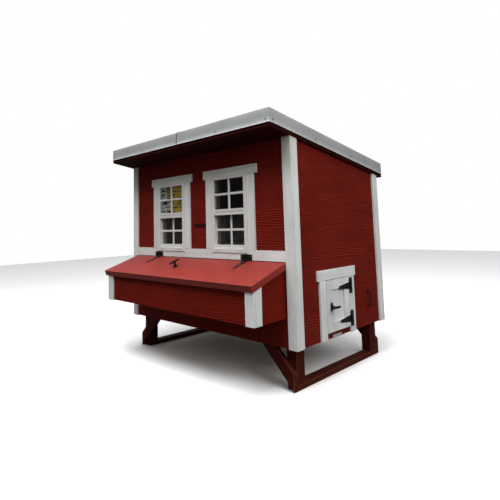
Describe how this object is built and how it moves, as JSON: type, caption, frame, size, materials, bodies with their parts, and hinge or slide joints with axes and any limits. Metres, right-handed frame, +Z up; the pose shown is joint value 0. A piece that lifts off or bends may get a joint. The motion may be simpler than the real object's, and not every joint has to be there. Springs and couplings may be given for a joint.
{
  "type": "chicken coop",
  "caption": "Raised timber chicken coop with nest boxes under a hinged lid, sash windows, a small side door, a clean-out door and a sloping metal roof.",
  "frame": {"origin": "centre of the bounding box's base, on the ground", "axes": "+Z up, +X to the right along the front, -Y out of the front where the nest boxes and windows are"},
  "size_m": [2.173, 1.693, 1.945],
  "materials": {
    "leg_timber": "brown-red stain on sawn timber",
    "frame_timber": "bare planed softwood and sheet",
    "red_siding": "barn red paint on embossed wood-grain siding",
    "white_trim": "satin white paint on embossed trim boards",
    "window_white": "white coated window profile",
    "pane": "clear glazing",
    "screen": "grey insect mesh in a slim frame",
    "lid_red": "red paint, slightly glossy, over a smooth sheet",
    "black_iron": "black powder coat",
    "roof_metal": "pale grey galvanised sheet"
  },
  "bodies": {
    "house": {"skids": "leg_timber", "posts_left": "leg_timber", "posts_right": "leg_timber", "braces_left": "leg_timber", "braces_right": "leg_timber", "floor_frame": "frame_timber", "floor_panel": "frame_timber", "studs_front": "frame_timber", "studs_back": "frame_timber", "studs_sides": "frame_timber", "siding_front": "red_siding", "siding_back": "red_siding", "siding_left": "red_siding", "siding_right": "red_siding", "corner_boards_front": "white_trim", "corner_boards_back": "white_trim", "band_board": "white_trim", "window_casing_left": "white_trim", "window_casing_right": "white_trim", "window_frame_left": "window_white", "window_frame_right": "window_white", "fixed_panes": "pane", "insect_screens": "screen", "door_casings": "white_trim", "hinge_leaves": "black_iron", "hinge_pins": "black_iron", "pull_handle": "black_iron", "ramp_lip": "roof_metal", "hook_fixings": "black_iron", "nest_front": "red_siding", "nest_ends": "red_siding", "nest_floor": "frame_timber", "nest_dividers": "frame_timber", "nest_corner_boards": "white_trim", "rafters": "frame_timber", "roof_deck": "frame_timber", "fascia_boards": "red_siding", "soffits": "red_siding", "roof_sheet": "roof_metal", "edge_strip_front": "roof_metal", "edge_strip_sides": "roof_metal", "edge_screws": "roof_metal", "roost_bars": "frame_timber"},
    "chicken_door": {"chicken_door": "white_trim", "door_straps": "black_iron", "door_handle_plate": "black_iron"},
    "door_handle": {"door_tee_handle": "black_iron"},
    "nest_lid": {"nest_lid": "lid_red", "lid_straps": "black_iron", "lid_handle_plate": "black_iron"},
    "lid_handle": {"lid_tee_handle": "black_iron"},
    "access_door": {"access_door": "red_siding", "access_straps": "black_iron", "access_handle_plate": "black_iron"},
    "access_handle": {"access_tee_handle": "black_iron"},
    "left_sash": {"sash_left": "window_white", "sash_pane_left": "pane"},
    "right_sash": {"sash_right": "window_white", "sash_pane_right": "pane"},
    "wall_hook": {"wall_hook": "black_iron"}
  },
  "joints": [
    {"name": "chicken_door_hinge", "type": "hinge", "parent": "house", "child": "chicken_door", "pos_m": [1.0398, 0.19725, 0.5285], "axis": [0, 0, 1], "range_deg": [0, 150]},
    {"name": "door_handle_turn", "type": "hinge", "parent": "chicken_door", "child": "door_handle", "pos_m": [1.0345, -0.063, 0.5225], "axis": [1, 0, 0], "range_deg": [0, 90]},
    {"name": "nest_lid_hinge", "type": "hinge", "parent": "house", "child": "nest_lid", "pos_m": [0, -0.4938, 0.88681], "axis": [-1, 0, 0], "range_deg": [0, 95]},
    {"name": "lid_handle_turn", "type": "hinge", "parent": "nest_lid", "child": "lid_handle", "pos_m": [-0.0915, -0.667, 0.82293], "axis": [0, -0.319, 0.9478], "range_deg": [0, 90]},
    {"name": "access_door_hinge", "type": "hinge", "parent": "house", "child": "access_door", "pos_m": [-0.38925, 0.7648, 0.785], "axis": [0, 0, 1], "range_deg": [0, 150]},
    {"name": "access_handle_turn", "type": "hinge", "parent": "access_door", "child": "access_handle", "pos_m": [0.3055, 0.7595, 0.785], "axis": [0, 1, 0], "range_deg": [0, 90]},
    {"name": "left_sash_slide", "type": "slide", "parent": "house", "child": "left_sash", "axis": [0, 0, 1], "range_m": [0, 0.25]},
    {"name": "right_sash_slide", "type": "slide", "parent": "house", "child": "right_sash", "axis": [0, 0, 1], "range_m": [0, 0.25]},
    {"name": "wall_hook_swing", "type": "hinge", "parent": "house", "child": "wall_hook", "pos_m": [0.085, -0.4805, 1.165], "axis": [0, 1, 0], "range_deg": [0, 90]}
  ]
}
